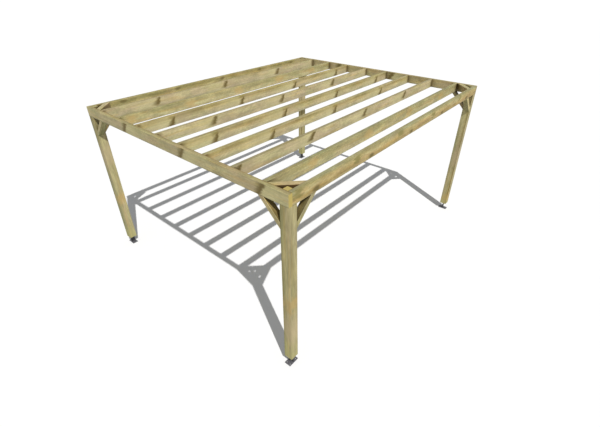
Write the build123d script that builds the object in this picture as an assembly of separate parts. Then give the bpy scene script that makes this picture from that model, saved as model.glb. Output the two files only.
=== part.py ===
from build123d import *
import os

# A free-standing garden pergola of planed, pressure-treated softwood.
# Four square posts stand on bolt-down steel feet. The post heads are cut away on
# their two outer sides, so a ring of edge beams sits on the shoulders, flush with
# the posts' faces and tops. The short beams run right to the corners and the long
# beams fit between them. Eight rafters fit between the short beams at the same
# level. Each corner has two knee braces under the beams and one flat brace.
#
# Millimetres. X is along the length, Y along the width, Z up from the ground.
# The origin is on the ground at the centre. Front is -Y and left is -X.

# Whole frame
FRAME_LENGTH = 4200
FRAME_WIDTH = 3400
EASED_EDGE = 3

# Posts
POST_SIDE = 100
POST_HEIGHT = 2015

# Edge beams and rafters, all of one section
JOIST_THICK = 45
JOIST_DEPTH = 120
RAFTER_COUNT = 8
RAFTER_PITCH = 400

# Braces: THICK is across the mitred outline and WIDE is the other way
BRACE_THICK = 45
BRACE_WIDE = 70
KNEE_LEG = 245
CORNER_THICK = 60
CORNER_LEG = 229

# Steel feet: a base plate and an upright blade let into the post
FOOT_RISE = 105
PLATE_LONG = 130
PLATE_SHORT = 76
PLATE_THICK = 6
PLATE_CORNER = 4
BLADE_WIDE = 60
BLADE_THICK = 6
BLADE_IN_POST = 100
SLOT_PLAY = 0.5
BOLT_HOLE = 11
BOLT_SPACING_LONG = 90
BOLT_SPACING_SHORT = 44

# Levels and half sizes that follow from them
HALF_LENGTH = FRAME_LENGTH / 2
HALF_WIDTH = FRAME_WIDTH / 2
TOP = FOOT_RISE + POST_HEIGHT
BEAM_UNDERSIDE = TOP - JOIST_DEPTH
MITRE_RUN = BRACE_THICK * 2 ** 0.5
CORNER_MITRE_RUN = CORNER_THICK * 2 ** 0.5

# Each corner: name, side of X, side of Y, and whether the foot's long side is along X
CORNERS = [
    ("front_left", -1, -1, True),
    ("front_right", 1, -1, False),
    ("back_left", -1, 1, False),
    ("back_right", 1, 1, True),
]


def block(x_range, y_range, z_range):
    """A plain box between two limits along each axis."""
    low = [min(x_range), min(y_range), min(z_range)]
    high = [max(x_range), max(y_range), max(z_range)]
    size = [b - a for a, b in zip(low, high)]
    return Pos(*low) * Box(*size, align=(Align.MIN, Align.MIN, Align.MIN))


def eased(solid, along):
    """The solid with its long edges, those parallel to one axis, rounded over."""
    return fillet(solid.edges().filter_by(along), EASED_EDGE)


def save(shape, name):
    """Write one piece to its own file, named after its node."""
    solid = shape.solid()
    solid.label = name
    export_step(solid, f"parts/{name}.step")


def corner_point(side_x, side_y, inset_x, inset_y):
    """A place measured inwards from one outer corner of the frame."""
    x = side_x * (HALF_LENGTH - inset_x)
    y = side_y * (HALF_WIDTH - inset_y)
    return x, y


def blade_size(long_along_x):
    """The blade stands across the middle of its plate: its size along X and Y."""
    if long_along_x:
        return BLADE_THICK, BLADE_WIDE
    return BLADE_WIDE, BLADE_THICK


def post(side_x, side_y, long_along_x):
    """A square post, its head cut away on the two outer sides, slotted for the blade."""
    x, y = corner_point(side_x, side_y, POST_SIDE / 2, POST_SIDE / 2)
    body = Pos(x, y, FOOT_RISE) * Box(
        POST_SIDE, POST_SIDE, POST_HEIGHT, align=(Align.CENTER, Align.CENTER, Align.MIN)
    )
    body = eased(body, Axis.Z)
    outer_x, outer_y = corner_point(side_x, side_y, 0, 0)
    seat_x, seat_y = corner_point(side_x, side_y, JOIST_THICK, JOIST_THICK)
    inner_x, inner_y = corner_point(side_x, side_y, POST_SIDE, POST_SIDE)
    levels = (BEAM_UNDERSIDE, TOP)
    body -= block((outer_x, seat_x), (outer_y, inner_y), levels)
    body -= block((outer_x, inner_x), (outer_y, seat_y), levels)
    wide_x, wide_y = blade_size(long_along_x)
    slot = Box(
        wide_x + 2 * SLOT_PLAY,
        wide_y + 2 * SLOT_PLAY,
        BLADE_IN_POST + SLOT_PLAY,
        align=(Align.CENTER, Align.CENTER, Align.MIN),
    )
    return body - Pos(x, y, FOOT_RISE) * slot


def foot(side_x, side_y, long_along_x):
    """A base plate with four bolt holes and a blade welded upright across its middle."""
    x, y = corner_point(side_x, side_y, POST_SIDE / 2, POST_SIDE / 2)
    plate_x, plate_y = (PLATE_LONG, PLATE_SHORT) if long_along_x else (PLATE_SHORT, PLATE_LONG)
    step_x, step_y = BOLT_SPACING_LONG, BOLT_SPACING_SHORT
    if not long_along_x:
        step_x, step_y = step_y, step_x
    plate = extrude(RectangleRounded(plate_x, plate_y, PLATE_CORNER), PLATE_THICK)
    holes = GridLocations(step_x, step_y, 2, 2) * Circle(BOLT_HOLE / 2)
    plate -= extrude(Sketch() + holes, PLATE_THICK)
    blade_x, blade_y = blade_size(long_along_x)
    blade = Box(
        blade_x,
        blade_y,
        FOOT_RISE + BLADE_IN_POST,
        align=(Align.CENTER, Align.CENTER, Align.MIN),
    )
    return Pos(x, y, 0) * (plate + blade)


def short_beam(side_x):
    """An edge beam along the width, right to the corners."""
    outer = side_x * HALF_LENGTH
    inner = side_x * (HALF_LENGTH - JOIST_THICK)
    body = block((outer, inner), (-HALF_WIDTH, HALF_WIDTH), (BEAM_UNDERSIDE, TOP))
    return eased(body, Axis.Y)


def long_member(y_low, y_high):
    """A beam or rafter along the length, fitted between the two short beams."""
    reach = HALF_LENGTH - JOIST_THICK
    body = block((-reach, reach), (y_low, y_high), (BEAM_UNDERSIDE, TOP))
    return eased(body, Axis.X)


def knee_outline():
    """A mitred 45-degree brace seen from the side, its right angle at the origin.

    The first coordinate runs out along the beam's underside and the second down
    the post.
    """
    inner_leg = KNEE_LEG - MITRE_RUN
    return Polyline((KNEE_LEG, 0), (inner_leg, 0), (0, -inner_leg), (0, -KNEE_LEG), close=True)


def knee_under_long_beam(side_x, side_y):
    """The knee brace from a post to a long beam, its outer face flush with the beam's."""
    x, y = corner_point(side_x, side_y, POST_SIDE, 0)
    plane = Plane(origin=(x, y, BEAM_UNDERSIDE), x_dir=(-side_x, 0, 0), z_dir=(0, side_x, 0))
    face = plane * make_face(knee_outline())
    brace = extrude(face, BRACE_WIDE, dir=(0, -side_y, 0))
    return eased(brace, Axis((0, 0, 0), (-side_x, 0, 1)))


def knee_under_short_beam(side_x, side_y):
    """The knee brace from a post to a short beam, its outer face flush with the beam's."""
    x, y = corner_point(side_x, side_y, 0, POST_SIDE)
    plane = Plane(origin=(x, y, BEAM_UNDERSIDE), x_dir=(0, -side_y, 0), z_dir=(-side_y, 0, 0))
    face = plane * make_face(knee_outline())
    brace = extrude(face, BRACE_WIDE, dir=(-side_x, 0, 0))
    return eased(brace, Axis((0, 0, 0), (0, -side_y, 1)))


def corner_brace(side_x, side_y):
    """The flat brace between two beams at a corner, flush with their tops."""
    x, y = corner_point(side_x, side_y, JOIST_THICK, JOIST_THICK)
    inner_leg = CORNER_LEG - CORNER_MITRE_RUN
    ends = [(CORNER_LEG, 0), (inner_leg, 0), (0, inner_leg), (0, CORNER_LEG)]
    points = [(x - side_x * a, y - side_y * b) for a, b in ends]
    face = Plane.XY.offset(TOP) * make_face(Polyline(*points, close=True))
    brace = extrude(face, BRACE_WIDE, dir=(0, 0, -1))
    return eased(brace, Axis((0, 0, 0), (side_x, -side_y, 0)))


os.makedirs("parts", exist_ok=True)

for name, side_x, side_y, long_along_x in CORNERS:
    save(post(side_x, side_y, long_along_x), f"post_{name}")
    save(foot(side_x, side_y, long_along_x), f"foot_{name}")
    save(knee_under_long_beam(side_x, side_y), f"knee_brace_{name}_long")
    save(knee_under_short_beam(side_x, side_y), f"knee_brace_{name}_short")
    save(corner_brace(side_x, side_y), f"corner_brace_{name}")

save(short_beam(-1), "beam_left")
save(short_beam(1), "beam_right")
save(long_member(-HALF_WIDTH, -HALF_WIDTH + JOIST_THICK), "beam_front")
save(long_member(HALF_WIDTH - JOIST_THICK, HALF_WIDTH), "beam_back")

for i in range(RAFTER_COUNT):
    middle = (i - (RAFTER_COUNT - 1) / 2) * RAFTER_PITCH
    save(long_member(middle - JOIST_THICK / 2, middle + JOIST_THICK / 2), f"rafter_{i + 1}")
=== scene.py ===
import math

import bpy
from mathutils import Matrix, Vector


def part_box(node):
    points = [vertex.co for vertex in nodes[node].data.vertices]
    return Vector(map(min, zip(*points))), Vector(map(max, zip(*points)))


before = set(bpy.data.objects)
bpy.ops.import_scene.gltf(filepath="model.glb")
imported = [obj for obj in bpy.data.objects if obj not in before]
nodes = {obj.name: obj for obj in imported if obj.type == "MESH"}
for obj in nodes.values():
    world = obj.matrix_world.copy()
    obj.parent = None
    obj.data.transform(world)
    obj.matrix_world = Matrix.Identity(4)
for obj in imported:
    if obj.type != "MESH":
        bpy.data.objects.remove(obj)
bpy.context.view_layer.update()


# ---------------------------------------------------------------------------
# The four posts. Planed square softwood, green from the pressure treatment,
# stood on end with the pith a little outside the section. Nearly clear timber:
# only soft orange clouds where a branch lies just under the face.


class Finish:
    """A finish built up in steps: each is one node, fed by numbers or by earlier steps."""

    def __init__(self, material):
        self.material = material
        self.material.use_nodes = True
        self.material.node_tree.nodes.clear()

    def step(self, kind, *values, out=0, **settings):
        """One node of this kind, its sockets filled in order; None leaves one as it is."""
        node = self.material.node_tree.nodes.new("ShaderNode" + kind)
        for key, value in settings.items():
            setattr(node, key, value)
        for socket, value in zip(node.inputs, values):
            self.fill(socket, value)
        return node.outputs[out] if node.outputs else None

    def fill(self, socket, value):
        """Links an earlier step to a socket, or sets the socket to a number or colour."""
        if isinstance(value, bpy.types.NodeSocket):
            self.material.node_tree.links.new(value, socket)
        elif value is not None:
            socket.default_value = value

    def sum(self, a, b):
        return self.step("Math", a, b, operation="ADD")

    def less(self, a, b):
        return self.step("Math", a, b, operation="SUBTRACT")

    def times(self, a, b):
        return self.step("Math", a, b, operation="MULTIPLY")

    def larger(self, a, b):
        return self.step("Math", a, b, operation="MAXIMUM")

    def size(self, a):
        """The number without its sign."""
        return self.step("Math", a, operation="ABSOLUTE")

    def nearest(self, a):
        """The whole number nearest to a number."""
        return self.step("Math", a, operation="ROUND")

    def rise(self, value, low, high, bottom=0.0, top=1.0):
        """A smooth rise from bottom to top as value goes from low to high."""
        return self.step("MapRange", value, low, high, bottom, top, interpolation_type="SMOOTHSTEP")

    def offset(self, a, b, way):
        """Two places or directions, added or subtracted."""
        return self.step("VectorMath", a, b, operation=way)

    def along(self, place, way):
        """How far a place lies along one direction."""
        return self.step("VectorMath", place, way, operation="DOT_PRODUCT", out=1)

    def stretch(self, place, amount):
        return self.step("VectorMath", place, amount, operation="MULTIPLY")

    def length(self, place):
        return self.step("VectorMath", place, operation="LENGTH", out=1)

    def cloud(self, place, amount, detail=3.0):
        """Soft noise around a half, with the given number of clouds to the metre each way."""
        return self.step("TexNoise", self.stretch(place, amount), None, 1.0, detail)

    def blend(self, share, colour_a, colour_b, way="MIX"):
        return self.step("MixRGB", share, colour_a, colour_b, blend_type=way)

    def stain(self, share, colour, tint):
        """The colour multiplied by a tint over a share of the surface."""
        return self.blend(share, colour, self.blend(1.0, colour, tint, "MULTIPLY"))

    def dim(self, colour, shade):
        """The colour with its three parts multiplied by one shade."""
        return self.blend(1.0, colour, self.step("CombineXYZ", shade, shade, shade), "MULTIPLY")

    def bands(self, level, stops):
        """A colour for each level from 0 to 1, blended smoothly between the given stops."""
        colour = self.step("ValToRGB", level)
        ramp = colour.node.color_ramp
        ramp.interpolation = "EASE"
        ramp.elements[0].position, ramp.elements[1].position = stops[0][0], stops[-1][0]
        for place, _ in stops[1:-1]:
            ramp.elements.new(place)
        for element, (_, shade) in zip(ramp.elements, stops):
            element.color = (*shade, 1)
        return colour


TREATED_TAN = (0.545, 0.450, 0.245, 1)
TREATED_GREEN = (0.430, 0.420, 0.195, 1)
PALE_YELLOW = (0.660, 0.590, 0.300, 1)
WARM_PINK = (0.620, 0.465, 0.275, 1)
HONEY = (0.590, 0.430, 0.150, 1)
LATE_WOOD = (0.36, 0.26, 0.10, 1)
END_YELLOW = (0.575, 0.460, 0.138, 1)
END_LATE_WOOD = (0.42, 0.29, 0.08, 1)

# Colours that multiply the colour under them: painted shade on tops, near ends and in closed
# corners, on inner faces and on undersides. AS_IS and EVEN change nothing.
TOP_PAINTED_SHADE = (0.61, 0.61, 0.54, 1)
CORNER_PAINTED_SHADE = (0.26, 0.20, 0.11, 1)
INNER_PAINTED_SHADE = (0.50, 0.50, 0.40, 1)
UNDERSIDE_PAINTED_SHADE = (0.60, 0.68, 0.56, 1)
AS_IS = (1, 1, 1)
EVEN = ((0.0, AS_IS), (1.0, AS_IS))

# The growth rings: their width, the pith's place beside a board, how many slow
# bends to the metre they make and how far those go, and where in each ring the
# dark late wood starts and ends.
RING_WIDTH = 0.0045
BOARD_PITH = (-0.05, 0.09)
RING_BENDS = (1.4, 4.8, 4.8)
BEND_REACH = (0.0, 0.05, 0.05)
LATE_START = (0.25, 0.9)
LATE_END = (0.93, 1.0, 1.0, 0.0)
LATE_SHARE = 0.20
END_LATE_SHARE = 0.5

# Noise: its clouds to the metre along the grain, up the face and through the
# piece. A shade is a low and a high level of it and the brightness at each, but
# for fibre what is added to that. One seed moves the noise by SEED_STEP.
FIBRE = (9, 420, 420)
FLECKS = (34, 62, 62)
STREAKS = (1.6, 46, 46)
MOTTLE = (6, 14, 14)
FIBRE_SHADE = (0.3, 0.7, -0.05, 0.05)
FLECK_SHADE = (0.32, 0.68, 0.88, 1.10)
STREAK_SHADE = (0.30, 0.70, 0.89, 1.08)
MOTTLE_SHADE = (0.30, 0.70, 0.86, 1.12)
SEED_STEP = (3.7, 1.9, 2.3)

# Tints: the clouds to the metre, the levels of noise where each starts and is
# full, and its share there. The bands wander up and down with the mottle.
GREEN_CLOUDS = ((3, 12, 12), (0.42, 0.66))
PALE_CLOUDS = ((3.5, 16, 15), (0.48, 0.66))
PINK_CLOUDS = ((4.5, 14, 15), (0.50, 0.68))
HONEY_CLOUDS = ((2.4, 26, 25), (0.50, 0.68))
GREEN_SHARE = 0.60
PALE_SHARE = 0.60
PINK_SHARE = 0.35
HONEY_SHARE = 0.50
BAND_WAVE = 0.15

# How far the surface looks one way where it starts to count as each kind of
# face, and where it fully does. Those that end in 1.0, 0.0 run downwards.
BROAD_FACE = (0.6, 0.8)
TOP_FACE = (0.5, 0.95)
LONG_FACE = (0.2, 0.6, 1.0, 0.0)
END_FACE = (0.75, 0.85)
INNER_FACE = (0.8, 0.95)
UNDERSIDE = (-0.80, -0.35, 1.0, 0.0)

# An arris is where the surface turns from one face to the next. It is worn in patches, which get
# painted highlight above and painted shade below.
ARRIS_TURN = (0.85, 0.985, 1.0, 0.0)
ARRIS_PATCHES = (0.3, 0.6, 0.4, 1.0)
ARRIS_WEAR_AND_LIGHT = (-0.3, 0.3, -0.45, 0.16)

# Painted shade near ends and in corners: how far from an end it starts and is full, and how far
# away another face still closes a corner.
END_SHADE_START = 0.075
END_SHADE_FULL = 0.005
CORNER_REACH = 0.14
CLOSED_CORNER = (0.25, 0.95, 1.0, 0.0)

# The relief's height in metres, what each part adds to it, and how rough the
# surface is from one level of the streaks to another.
RELIEF_HEIGHT = 0.0004
RELIEF_STRENGTH = 0.5
LATE_RELIEF = 0.35
FIBRE_RELIEF = 0.5
KNOT_RELIEF = 0.6
ROUGHNESS = (0.3, 0.7, 0.62, 0.78)
SHINE = 0.25

BACKWARDS = (0, 1, 0)
UP = (0, 0, 1)


def timber(
    node,
    grain,
    face,
    seed,
    ground=TREATED_TAN,
    pith=BOARD_PITH,
    bands=EVEN,
    marks=(),
    ends=END_YELLOW,
    inner=None,
    joint=0.0,
    green=GREEN_SHARE,
    run=1.0,
    narrow=AS_IS,
):
    """Planed treated softwood for one piece.

    Every place in the piece is measured from its middle along the grain (u),
    up its face (v) and through it (w). The growth rings are circles of the
    distance to the pith, which runs along u beside the piece and wanders with
    slow noise, so the faces get long grain and the ends get arcs from the same
    rings. Clouds a few centimetres across tint the ground colour green, pink or
    honey; run scales how many there are to the metre of length. Bands are the
    shades that the saw left up the broad faces by cutting the rings at a slant,
    and narrow is the one shade of the narrow faces. Marks are laid over these,
    and the end grain has a colour of its own. Corners where timbers meet get
    painted dark brown shade, and so do the ends, by the share joint. Undersides
    get painted green-tinged shade, and a face that looks along the inner way gets
    painted shade. Tops get painted grey shade, and the arrises, in worn patches,
    get painted highlight above and painted shade below.
    """
    low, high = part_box(node)
    middle = (Vector(low) + Vector(high)) / 2
    side = Vector(grain).cross(Vector(face))
    height = abs((Vector(high) - Vector(low)).dot(Vector(face)))
    reach = abs((Vector(high) - Vector(low)).dot(Vector(grain))) / 2
    wood = Finish(bpy.data.materials.new(f"timber_{node}"))
    place = wood.offset(wood.step("TexCoord", out=3), tuple(middle), "SUBTRACT")
    u = wood.along(place, grain)
    v = wood.along(place, face)
    w = wood.along(place, tuple(side))
    board = wood.step("CombineXYZ", u, v, w)
    shifted = wood.offset(board, tuple(seed * step for step in SEED_STEP), "ADD")
    normal = wood.step("NewGeometry", out=1)
    along_grain = wood.size(wood.along(normal, grain))
    along_face = wood.size(wood.along(normal, face))
    along_side = wood.size(wood.along(normal, tuple(side)))
    broad = wood.rise(along_side, *BROAD_FACE)

    wander = wood.step("TexNoise", wood.stretch(shifted, RING_BENDS), None, 1.0, 2.0, out=1)
    wander = wood.offset(wander, (0.5, 0.5, 0.5), "SUBTRACT")
    across = wood.offset(wood.stretch(board, (0, 1, 1)), (0, *pith), "SUBTRACT")
    across = wood.offset(across, wood.stretch(wander, BEND_REACH), "ADD")
    ring = wood.step("Math", wood.times(wood.length(across), 1 / RING_WIDTH), operation="FRACT")
    late = wood.times(wood.rise(ring, *LATE_START), wood.rise(ring, *LATE_END))

    def run_clouds(amount, detail=3.0):
        """Noise with its clouds to the metre along the grain scaled by run."""
        return wood.cloud(shifted, (amount[0] * run, *amount[1:]), detail)

    def tinted(clouds):
        """Where one tint lies: the rise of its noise from its first level to its second."""
        amount, levels = clouds
        return wood.rise(run_clouds(amount), *levels)

    fibre = wood.cloud(shifted, FIBRE, 2.0)
    streak = wood.cloud(shifted, STREAKS)
    fleck = run_clouds(FLECKS, 4.0)
    mottle = run_clouds(MOTTLE, 5.0)

    colour = wood.blend(wood.times(tinted(GREEN_CLOUDS), green), ground, TREATED_GREEN)
    colour = wood.blend(wood.times(tinted(PALE_CLOUDS), PALE_SHARE), colour, PALE_YELLOW)
    colour = wood.blend(wood.times(tinted(PINK_CLOUDS), PINK_SHARE), colour, WARM_PINK)
    colour = wood.blend(wood.times(tinted(HONEY_CLOUDS), HONEY_SHARE), colour, HONEY)
    colour = wood.blend(wood.times(late, LATE_SHARE), colour, LATE_WOOD)
    shade = wood.times(wood.rise(mottle, *MOTTLE_SHADE), wood.rise(streak, *STREAK_SHADE))
    shade = wood.times(shade, wood.rise(fleck, *FLECK_SHADE))
    colour = wood.dim(colour, wood.sum(shade, wood.rise(fibre, *FIBRE_SHADE)))
    level = wood.sum(wood.times(v, 1 / height), 0.5)
    wavy = wood.sum(level, wood.times(wood.less(mottle, 0.5), BAND_WAVE))
    shade = wood.blend(broad, (*narrow, 1), wood.bands(wavy, bands))
    colour = wood.blend(1.0, colour, shade, "MULTIPLY")

    facing_up = wood.along(normal, UP)
    top = wood.times(wood.rise(facing_up, *TOP_FACE), wood.rise(along_grain, *LONG_FACE))
    spot = {"u": u, "v": v, "w": w, "shifted": shifted, "broad": broad, "top": top}
    knot = 0.0
    for mark in marks:
        colour, dark = mark(wood, colour, spot)
        knot = wood.larger(knot, dark)

    end = wood.rise(along_grain, *END_FACE)
    rings = wood.blend(wood.times(late, END_LATE_SHARE), ends, END_LATE_WOOD)
    colour = wood.blend(end, colour, rings)
    # Painted grey shade on the top faces.
    colour = wood.stain(top, colour, TOP_PAINTED_SHADE)
    # Worn patches on the arrises with painted highlight above and painted shade below.
    flatness = wood.larger(along_grain, wood.larger(along_face, along_side))
    arris = wood.times(wood.rise(flatness, *ARRIS_TURN), wood.rise(mottle, *ARRIS_PATCHES))
    arris_wear_and_light = wood.times(arris, wood.rise(facing_up, *ARRIS_WEAR_AND_LIGHT))
    colour = wood.dim(colour, wood.sum(1.0, arris_wear_and_light))
    # Painted shade on faces that look along the inner way.
    if inner:
        colour = wood.stain(wood.rise(wood.along(normal, inner), *INNER_FACE), colour, INNER_PAINTED_SHADE)
    # Painted green-tinged shade on the undersides.
    colour = wood.stain(wood.rise(facing_up, *UNDERSIDE), colour, UNDERSIDE_PAINTED_SHADE)
    # Painted dark brown shade near the ends, by the share joint, and in closed corners.
    near_end = wood.rise(wood.size(u), reach - END_SHADE_START, reach - END_SHADE_FULL)
    colour = wood.stain(wood.times(wood.times(near_end, broad), joint), colour, CORNER_PAINTED_SHADE)
    open_air = wood.step("AmbientOcclusion", None, CORNER_REACH, out=1, samples=8)
    colour = wood.stain(wood.rise(open_air, *CLOSED_CORNER), colour, CORNER_PAINTED_SHADE)

    relief = wood.sum(wood.times(late, LATE_RELIEF), wood.times(fibre, FIBRE_RELIEF))
    relief = wood.sum(relief, wood.times(knot, KNOT_RELIEF))
    bump = wood.step("Bump", RELIEF_STRENGTH, RELIEF_HEIGHT)
    wood.fill(bump.node.inputs["Height"], relief)
    shader = wood.step("BsdfPrincipled", colour)
    surface = shader.node
    wood.fill(surface.inputs["Roughness"], wood.rise(streak, *ROUGHNESS))
    surface.inputs["Specular IOR Level"].default_value = SHINE
    wood.fill(surface.inputs["Normal"], bump)
    wood.step("OutputMaterial", shader)
    return wood.material


def finish_node(name, material):
    """Gives a CAD node its finish."""
    for slot in nodes[name].material_slots:
        slot.material = material


# A patch's ragged edge, as clouds to the metre, and where it fades, as shares of
# its reach.
PATCH_EDGE = (14, 44, 44)
PATCH_FADE = (0.30, 1.15)


def patches(start, spacing, level, reach, tint, share, ragged=1.2):
    """Soft oval patches of one tint, evenly spaced along the grain.

    Each has its middle at the given level of v, and half lengths along u and v
    of reach. The share of tint falls smoothly from the middle of the nearest
    oval to nothing past its edge, which noise makes ragged.
    """

    def mark(wood, colour, spot):
        wave = wood.less(wood.cloud(spot["shifted"], PATCH_EDGE, 4.0), 0.5)
        turn = wood.times(wood.less(spot["u"], start), 1 / spacing)
        away_u = wood.times(wood.less(turn, wood.nearest(turn)), spacing / reach[0])
        away_v = wood.times(wood.less(spot["v"], level), 1 / reach[1])
        away = wood.length(wood.step("CombineXYZ", away_u, away_v, 0.0))
        inside = wood.rise(wood.sum(away, wood.times(wave, ragged)), *PATCH_FADE, share, 0.0)
        return wood.blend(inside, colour, tint), 0.0

    return mark


END_OLIVE = (0.300, 0.275, 0.120, 1)
END_GOLD = (0.475, 0.380, 0.120, 1)
END_LIME = (0.332, 0.318, 0.145, 1)
ORANGE_HEART = (0.600, 0.400, 0.140, 1)
POST_TAN = (0.505, 0.438, 0.222, 1)
FOOT_GREEN = (0.490, 0.465, 0.185, 1)
POST_PINK = (0.540, 0.425, 0.250, 1)
LEFT_BANDS = (
    (0.0, AS_IS),
    (0.40, (0.98, 0.99, 0.96)),
    (0.70, (0.84, 0.87, 0.79)),
    (1.0, (0.55, 0.60, 0.48)),
)
DULL_BANDS = (
    (0.0, (0.86, 0.88, 0.85)),
    (0.50, (0.76, 0.79, 0.74)),
    (1.0, (0.50, 0.56, 0.46)),
)
RIGHT_BANDS = (
    (0.0, (0.54, 0.46, 0.36)),
    (0.20, (0.82, 0.79, 0.68)),
    (0.40, (0.98, 1, 0.98)),
    (1.0, (0.84, 0.88, 0.86)),
)

# The tinted stretches of a post come once each, so their spacing is longer than
# the post. The pith lies just outside the section.
ONCE = 4.0
LONG_STRETCH = dict(level=-0.020, reach=(0.22, 0.120), share=0.55, ragged=1.8)
HEART_STRETCH = dict(level=-0.035, reach=(0.11, 0.090), share=0.50, ragged=2.4)
POST_PITH = (0.055, -0.03)
POST_RUN = 0.35
POST_SEED = 1

# Each post: the height of its orange heart and of its pinkest stretch, its
# bands, how dull its narrow faces are, and its end grain.
POSTS = {
    "front_left": (0.900, 0.560, LEFT_BANDS, 0.82, END_GOLD),
    "front_right": (0.230, 1.000, RIGHT_BANDS, 0.81, END_OLIVE),
    "back_left": (0.790, 1.460, DULL_BANDS, 0.90, END_LIME),
    "back_right": (0.860, 1.300, RIGHT_BANDS, 0.86, END_OLIVE),
}
for number, (corner, (heart_height, pink_height, bands, dull, ends)) in enumerate(POSTS.items()):
    post = f"post_{corner}"
    low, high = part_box(post)
    middle = (low[2] + high[2]) / 2
    marks = (
        patches(pink_height - middle, ONCE, tint=POST_PINK, **LONG_STRETCH),
        patches(low[2] - middle, ONCE, tint=FOOT_GREEN, **LONG_STRETCH),
        patches(heart_height - middle, ONCE, tint=ORANGE_HEART, **HEART_STRETCH),
    )
    finish_node(
        post,
        timber(
            post,
            UP,
            BACKWARDS,
            POST_SEED + number,
            POST_TAN,
            pith=POST_PITH,
            bands=bands,
            marks=marks,
            ends=ends,
            run=POST_RUN,
            narrow=(dull, dull, dull),
        ),
    )


# ---------------------------------------------------------------------------
# The rafters. Eight planed boards on edge between the short beams. Most were
# sawn through whorls of branches, so spike knots cross their faces at an even
# spacing, leaning one way; two are clear.

LENGTHWAYS = (1, 0, 0)
KNOT_BROWN = (0.168, 0.122, 0.036, 1)
DULL_PINK = (0.530, 0.425, 0.255, 1)

# A wedge's ragged edges, as clouds to the metre and metres, and the shares of
# its width over which its darkness rises and drops. The wood is pale before it
# and warm after it, over shares of half the spacing.
WEDGE_EDGE = (22, 48, 48)
WEDGE_RAGGED = 0.060
WEDGE_RISE = (-0.25, 0.65)
WEDGE_DROP = (0.75, 1.15, 1.0, 0.0)
PALE_RISE = (-1.0, -0.1)
PALE_DROP = (-0.10, 0.0, 1.0, 0.0)
WARM_RISE = (0.05, 0.15)
WARM_DROP = (0.15, 0.9, 1.0, 0.0)
PALE_BESIDE = 0.45
WARM_BESIDE = 0.35


def spike_knots(start, spacing, low, high, left, right, flow=1, strength=0.95):
    """Branches sawn through along their length, which cross the face as dark wedges.

    Each wedge lies between a left line and a right line, each a slope times v
    plus an offset; start and spacing place it along u. The darkness rises
    across the left line and drops at the right one. It rises again up the face
    between the two levels of low and drops between those of high. The wood
    grows paler towards each wedge and is duller and pinker just past it, the
    way flow runs.
    """

    def mark(wood, colour, spot):
        u, v, broad = spot["u"], spot["v"], spot["broad"]
        wave = wood.less(wood.cloud(spot["shifted"], WEDGE_EDGE, 4.0), 0.5)
        turn = wood.times(wood.less(u, start), 1 / spacing)
        near = wood.times(wood.less(turn, wood.nearest(turn)), spacing)
        near = wood.sum(near, wood.times(wave, WEDGE_RAGGED))
        before = wood.sum(wood.times(v, left[0]), left[1])
        after = wood.sum(wood.times(v, right[0]), right[1])
        width = wood.less(after, before)
        across = wood.step("Math", wood.less(near, before), width, operation="DIVIDE")
        dark = wood.times(wood.rise(across, *WEDGE_RISE), wood.rise(across, *WEDGE_DROP))
        dark = wood.times(dark, wood.times(wood.rise(v, *low), wood.rise(v, *high, 1.0, 0.0)))
        dark = wood.times(dark, broad)
        side = wood.times(near, 2 * flow / spacing)
        pale = wood.times(wood.rise(side, *PALE_RISE), wood.rise(side, *PALE_DROP))
        warm = wood.times(wood.rise(side, *WARM_RISE), wood.rise(side, *WARM_DROP))
        pale = wood.times(wood.times(pale, broad), PALE_BESIDE)
        warm = wood.times(wood.times(warm, broad), WARM_BESIDE)
        colour = wood.blend(pale, colour, PALE_YELLOW)
        colour = wood.blend(warm, colour, DULL_PINK)
        return wood.blend(wood.times(dark, strength), colour, KNOT_BROWN), dark

    return mark


def orange_heart(start, spacing):
    """The orange clouds of a clear board, where branches lie just under the face."""
    return patches(start, spacing, 0.005, (0.11, 0.060), ORANGE_HEART, share=0.50, ragged=1.8)


CLEAR_BANDS = (
    (0.0, (0.84, 0.85, 0.90)),
    (0.18, (0.96, 0.96, 0.99)),
    (0.38, AS_IS),
    (0.62, (0.90, 0.87, 0.80)),
    (1.0, (0.86, 0.85, 0.78)),
)
WHORL_BANDS = (
    (0.0, (0.78, 0.81, 0.88)),
    (0.30, (0.91, 0.93, 0.97)),
    (0.55, (0.98, 0.99, 1)),
    (0.80, (1.03, 1.03, 1.02)),
    (1.0, (0.94, 0.95, 0.94)),
)
SLANT_BANDS = (
    (0.0, (0.76, 0.80, 0.92)),
    (0.15, (0.85, 0.88, 0.97)),
    (0.40, AS_IS),
    (0.62, (0.98, 0.95, 0.86)),
    (0.75, (0.80, 0.75, 0.57)),
    (0.82, (0.70, 0.65, 0.46)),
    (0.92, (0.76, 0.72, 0.56)),
    (1.0, (0.80, 0.78, 0.66)),
)

# Knots in the upper part of a board, through most of its depth, and from its
# foot up.
TOP_KNOTS = dict(
    low=(-0.042, -0.014),
    high=(0.050, 0.075),
    left=(1.10, -0.076),
    right=(0.45, 0.023),
    strength=1.0,
)
LONG_KNOTS = dict(
    low=(-0.052, -0.022),
    high=(0.050, 0.075),
    left=(0.95, -0.056),
    right=(0.27, 0.043),
)
FOOT_KNOTS = dict(
    low=(-0.075, -0.055),
    high=(0.020, 0.052),
    left=(1.05, -0.014),
    right=(0.20, 0.050),
    strength=1.0,
)
PINK_GROUND = (0.600, 0.490, 0.290, 1)
PALE_GROUND = (0.590, 0.500, 0.275, 1)
GREEN_GROUND = (0.512, 0.466, 0.240, 1)
CLEAR_GROUND = (0.556, 0.500, 0.262, 1)
RAFTER_JOINT = 0.75
RAFTER_SEED = 10

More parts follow.
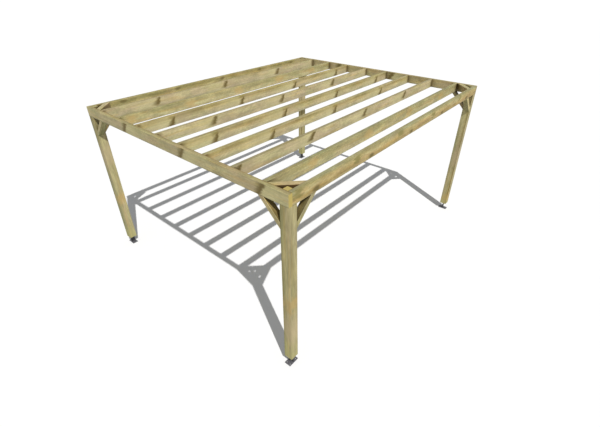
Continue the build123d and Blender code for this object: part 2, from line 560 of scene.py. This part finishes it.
# Each rafter: its ground colour, bands and marks, and the shade of its narrow
# faces where they differ from the rest.
RAFTERS = {
    1: dict(
        ground=GREEN_GROUND,
        bands=CLEAR_BANDS,
        narrow=(0.95, 0.98, 1.04),
        marks=(orange_heart(start=-1.455, spacing=0.968),),
    ),
    2: dict(
        ground=PINK_GROUND,
        bands=WHORL_BANDS,
        narrow=(0.89, 0.91, 0.97),
        marks=(spike_knots(start=-0.960, spacing=1.042, **TOP_KNOTS),),
    ),
    3: dict(
        ground=PALE_GROUND,
        bands=SLANT_BANDS,
        marks=(spike_knots(start=-1.164, spacing=1.152, **FOOT_KNOTS),),
    ),
    4: dict(
        ground=PALE_GROUND,
        bands=SLANT_BANDS,
        narrow=(0.93, 0.91, 0.86),
        marks=(spike_knots(start=-1.626, spacing=1.104, **FOOT_KNOTS),),
    ),
    5: dict(
        ground=PINK_GROUND,
        bands=WHORL_BANDS,
        marks=(spike_knots(start=-1.311, spacing=1.177, **LONG_KNOTS),),
    ),
    6: dict(
        ground=PALE_GROUND,
        bands=SLANT_BANDS,
        narrow=(0.98, 0.94, 0.76),
        marks=(spike_knots(start=-1.626, spacing=1.104, **FOOT_KNOTS),),
    ),
    7: dict(
        ground=CLEAR_GROUND,
        bands=CLEAR_BANDS,
        marks=(orange_heart(start=-1.055, spacing=0.856),),
    ),
    8: dict(
        ground=PINK_GROUND,
        bands=WHORL_BANDS,
        marks=(spike_knots(start=-1.311, spacing=1.177, **LONG_KNOTS),),
    ),
}
for number, grade in RAFTERS.items():
    rafter = f"rafter_{number}"
    seed = RAFTER_SEED + number
    finish_node(rafter, timber(rafter, LENGTHWAYS, UP, seed, joint=RAFTER_JOINT, **grade))


# ---------------------------------------------------------------------------
# The edge beams. The same boards as the rafters, set in a ring on the posts'
# shoulders: the short ones run to the corners and show their end grain. The
# long ones have small round dark knots.

FORWARDS = (0, -1, 0)
BEAM_TAN = (0.520, 0.450, 0.242, 1)
RIGHT_TAN = (0.455, 0.385, 0.200, 1)
BEAM_HONEY = (0.535, 0.410, 0.178, 1)
BACK_HONEY = (0.465, 0.395, 0.172, 1)
END_TAN = (0.375, 0.305, 0.165, 1)
LENS_BROWN = (0.175, 0.135, 0.045, 1)
STAIN_GREEN = (0.225, 0.200, 0.055, 1)
HEART_BROWN = (0.360, 0.225, 0.070, 1)
SHORT_BANDS = (
    (0.0, (0.58, 0.60, 0.62)),
    (0.11, (0.88, 0.89, 0.93)),
    (0.25, (0.98, 0.98, 0.97)),
    (0.5, AS_IS),
    (1.0, (0.95, 0.94, 0.90)),
)
LONG_BANDS = (
    (0.0, (0.66, 0.66, 0.68)),
    (0.12, (0.80, 0.78, 0.78)),
    (0.26, (0.84, 0.78, 0.66)),
    (0.40, (0.92, 0.86, 0.76)),
    (0.56, (1, 0.97, 0.94)),
    (0.80, (0.95, 0.97, 0.95)),
    (0.92, (0.78, 0.85, 0.84)),
    (1.0, (0.64, 0.74, 0.76)),
)
BACK_BANDS = (
    (0.0, (0.86, 0.86, 0.86)),
    (0.5, (0.90, 0.88, 0.84)),
    (0.72, (0.74, 0.72, 0.60)),
    (0.88, (0.80, 0.78, 0.66)),
    (1.0, (0.92, 0.90, 0.82)),
)
HEART_SHARE = 0.55


def heart_line(start, full):
    """A brown line along one side of the top, where the board was cut near its heart.

    Its strength rises with the distance from the middle against w, from
    nothing at start to all of it at full.
    """

    def mark(wood, colour, spot):
        line = wood.times(wood.rise(wood.times(spot["w"], -1.0), start, full), spot["top"])
        return wood.blend(wood.times(line, HEART_SHARE), colour, HEART_BROWN), 0.0

    return mark


SHORT_BEAM_KNOTS = dict(
    low=(-0.075, -0.045),
    high=(0.050, 0.075),
    left=(0.40, -0.058),
    right=(0.80, 0.034),
    flow=-1,
)
SHORT_BEAM_MARKS = (
    spike_knots(start=-0.785, spacing=1.086, **SHORT_BEAM_KNOTS),
    heart_line(start=0.006, full=0.016),
)
SHORT_BEAMS = {
    "beam_left": (21, BEAM_TAN, END_YELLOW),
    "beam_right": (22, RIGHT_TAN, END_TAN),
}
for beam, (seed, ground, ends) in SHORT_BEAMS.items():
    finish_node(
        beam,
        timber(
            beam,
            FORWARDS,
            UP,
            seed,
            ground,
            bands=SHORT_BANDS,
            marks=SHORT_BEAM_MARKS,
            ends=ends,
            narrow=(1.09, 1.06, 1.08),
        ),
    )

FRONT_BEAM_SEED = 23
FRONT_BEAM_MARKS = (
    patches(-1.750, 0.865, -0.030, (0.060, 0.030), LENS_BROWN, share=0.95),
    patches(-1.995, 0.855, 0.020, (0.070, 0.042), STAIN_GREEN, share=0.75, ragged=2.6),
)
finish_node(
    "beam_front",
    timber(
        "beam_front",
        LENGTHWAYS,
        UP,
        FRONT_BEAM_SEED,
        BEAM_HONEY,
        bands=LONG_BANDS,
        marks=FRONT_BEAM_MARKS,
        green=0.35,
        narrow=(0.94, 1.08, 1.30),
    ),
)

BACK_BEAM_SEED = 24
BACK_BEAM_MARKS = (
    patches(-1.635, 0.840, 0.030, (0.060, 0.025), LENS_BROWN, share=0.80),
)
finish_node(
    "beam_back",
    timber(
        "beam_back",
        LENGTHWAYS,
        UP,
        BACK_BEAM_SEED,
        BACK_HONEY,
        bands=BACK_BANDS,
        marks=BACK_BEAM_MARKS,
    ),
)


# ---------------------------------------------------------------------------
# The braces. Short mitred lengths across each corner, two upright ones under the beams and one laid
# flat between them. Their inner faces, which close against the post or the beams, get painted dark
# shade.

# Shades up a brace's broad faces: painted shade in brown and in a lighter tan, one that only
# darkens towards the top, and painted light.
BROWN_PAINTED_SHADE_SIDES = (
    (0.0, (0.47, 0.41, 0.32)),
    (0.6, (0.54, 0.47, 0.39)),
    (1.0, (0.68, 0.60, 0.49)),
)
TAN_PAINTED_SHADE_SIDES = (
    (0.0, (0.78, 0.72, 0.60)),
    (0.6, (0.88, 0.82, 0.70)),
    (1.0, (1.05, 0.98, 0.84)),
)
CLEAN_SIDES = (
    (0.0, (0.84, 0.84, 0.78)),
    (0.6, (0.78, 0.78, 0.70)),
    (1.0, (0.66, 0.67, 0.53)),
)
PAINTED_LIGHT_SIDES = (
    (0.0, (1.75, 1.65, 1.50)),
    (1.0, (1.75, 1.65, 1.50)),
)
LONG_KNEE_SEED = 31
SHORT_KNEE_SEED = 41
FLAT_BRACE_SEED = 51

# A brace leans halfway between two axes, by this much along each.
LEAN = math.sqrt(0.5)

# Each corner: its side of x and of y, the shades of the two knees' narrow front faces, the short
# knee's broad faces, and the flat brace's sides and top. These shades are painted light and shade
# on those faces.
BRACES = {
    "front_left": dict(
        sides=(-1, -1),
        long_front=(0.82, 0.86, 0.85),
        short_front=(0.92, 0.89, 0.82),
        short_sides=PAINTED_LIGHT_SIDES,
        flat_sides=BROWN_PAINTED_SHADE_SIDES,
        flat_top=(1.30, 1.26, 1.22),
    ),
    "front_right": dict(
        sides=(1, -1),
        long_front=(1.22, 1.26, 1.11),
        short_front=(0.72, 0.70, 0.70),
        short_sides=EVEN,
        flat_sides=TAN_PAINTED_SHADE_SIDES,
        flat_top=(1.36, 1.46, 1.58),
    ),
    "back_left": dict(
        sides=(-1, 1),
        long_front=AS_IS,
        short_front=(0.82, 0.84, 0.80),
        short_sides=EVEN,
        flat_sides=BROWN_PAINTED_SHADE_SIDES,
        flat_top=(1.38, 1.42, 1.48),
    ),
    "back_right": dict(
        sides=(1, 1),
        long_front=AS_IS,
        short_front=AS_IS,
        short_sides=EVEN,
        flat_sides=CLEAN_SIDES,
        flat_top=(0.92, 0.94, 0.90),
    ),
}

for number, (corner, brace) in enumerate(BRACES.items()):
    x_side, y_side = brace["sides"]
    long_knee = f"knee_brace_{corner}_long"
    short_knee = f"knee_brace_{corner}_short"
    flat = f"corner_brace_{corner}"
    finish_node(
        long_knee,
        timber(
            long_knee,
            (-x_side * LEAN, 0, LEAN),
            BACKWARDS,
            LONG_KNEE_SEED + number,
            inner=(x_side * LEAN, 0, LEAN),
            narrow=brace["long_front"],
        ),
    )
    finish_node(
        short_knee,
        timber(
            short_knee,
            (0, -y_side * LEAN, LEAN),
            LENGTHWAYS,
            SHORT_KNEE_SEED + number,
            bands=brace["short_sides"],
            inner=(0, y_side * LEAN, LEAN),
            narrow=brace["short_front"],
        ),
    )
    finish_node(
        flat,
        timber(
            flat,
            (x_side * LEAN, -y_side * LEAN, 0),
            UP,
            FLAT_BRACE_SEED + number,
            PINK_GROUND,
            bands=brace["flat_sides"],
            narrow=brace["flat_top"],
        ),
    )


# ---------------------------------------------------------------------------
# The feet. Each is a steel plate with an upright blade welded across it, dipped in a dull dark grey
# coating and bolted down. The upward faces carry dust in patches, lightened as painted light.

STEEL_DARK = (0.022, 0.022, 0.025, 1)
STEEL_GREY = (0.055, 0.055, 0.060, 1)
FOOT_DUST_AND_LIGHT = (0.155, 0.150, 0.158, 1)
COATING_CLOUDS = (90, 90, 90)
DUST_AND_LIGHT_FACE = (0.5, 0.9)
DUST_AND_LIGHT_PATCHES = (0.3, 0.7, 0.35, 0.75)
COATING_ROUGHNESS = (0.3, 0.7, 0.48, 0.62)

for corner in POSTS:
    steel = Finish(bpy.data.materials.new(f"steel_foot_{corner}"))
    mottle = steel.cloud(steel.step("TexCoord", out=3), COATING_CLOUDS, 4.0)
    colour = steel.blend(mottle, STEEL_DARK, STEEL_GREY)
    facing_up = steel.along(steel.step("NewGeometry", out=1), UP)
    # Dust and painted light on the upward faces.
    dust_and_light = steel.times(steel.rise(facing_up, *DUST_AND_LIGHT_FACE), steel.rise(mottle, *DUST_AND_LIGHT_PATCHES))
    shader = steel.step("BsdfPrincipled", steel.blend(dust_and_light, colour, FOOT_DUST_AND_LIGHT))
    steel.fill(shader.node.inputs["Roughness"], steel.rise(mottle, *COATING_ROUGHNESS))
    steel.step("OutputMaterial", shader)
    finish_node(f"foot_{corner}", steel.material)


# ---------------------------------------------------------------------------
# The floor: a plain pale sheet far wider than the pergola.

FLOOR_REACH = 120.0
FLOOR_GREY = (0.51, 0.51, 0.51, 1)
FLOOR_PALE = (0.93, 0.92, 0.905, 1)


def seen(finish, unseen_colour, seen_colour):
    """One colour for what the camera sees or mirrors, and another for the light it gives."""
    rays = finish.step("LightPath").node.outputs
    shown = finish.larger(rays["Is Camera Ray"], rays["Is Glossy Ray"])
    shown = finish.larger(shown, rays["Is Transmission Ray"])
    return finish.blend(shown, unseen_colour, seen_colour)


floor_mesh = bpy.data.meshes.new("floor")
floor_mesh.from_pydata(
    [
        (-FLOOR_REACH, -FLOOR_REACH, 0),
        (FLOOR_REACH, -FLOOR_REACH, 0),
        (FLOOR_REACH, FLOOR_REACH, 0),
        (-FLOOR_REACH, FLOOR_REACH, 0),
    ],
    [],
    [(0, 1, 2, 3)],
)
floor = bpy.data.objects.new("floor", floor_mesh)
bpy.context.scene.collection.objects.link(floor)
pale = Finish(bpy.data.materials.new("pale_floor"))
pale.step("OutputMaterial", pale.step("BsdfDiffuse", seen(pale, FLOOR_GREY, FLOOR_PALE)))
floor_mesh.materials.append(pale.material)


# ---------------------------------------------------------------------------
# Daylight: a white sky that lights plainly, and one sun, high over the front
# left, for the shadow.

SKY_LIGHT = (0.290, 0.302, 0.318, 1)
SKY_WHITE = (1, 1, 1, 1)
SUN_STRENGTH = 3.14
SUN_DEGREES_ACROSS = 0.6
TOWARDS_SUN = (-0.2634, -0.5156, 0.8153)

sky = bpy.data.worlds.new("sky")
bpy.context.scene.world = sky
air = Finish(sky)
air.step("OutputWorld", air.step("Background", seen(air, SKY_LIGHT, SKY_WHITE)))

sun_data = bpy.data.lights.new("sun", "SUN")
sun_data.energy = SUN_STRENGTH
sun_data.angle = math.radians(SUN_DEGREES_ACROSS)
sun = bpy.data.objects.new("sun", sun_data)
sun.rotation_mode = "QUATERNION"
sun.rotation_quaternion = Vector(TOWARDS_SUN).to_track_quat("Z", "Y")
bpy.context.scene.collection.objects.link(sun)


# ---------------------------------------------------------------------------
# The camera stands above the front left corner and looks down across the roof.

CAMERA_PLACE = (-3.8848, -3.3277, 3.5338)
CAMERA_LOOKS = (0.63821, 0.54107, -0.54766)
CAMERA_LENS = 22.164
CAMERA_SENSOR = 36.0

camera_data = bpy.data.cameras.new("camera")
camera_data.sensor_width = CAMERA_SENSOR
camera_data.lens = CAMERA_LENS
camera = bpy.data.objects.new("camera", camera_data)
camera.location = CAMERA_PLACE
camera.rotation_mode = "QUATERNION"
camera.rotation_quaternion = Vector(CAMERA_LOOKS).to_track_quat("-Z", "Y")
bpy.context.scene.collection.objects.link(camera)
bpy.context.scene.camera = camera

bpy.context.scene.view_settings.view_transform = "Standard"
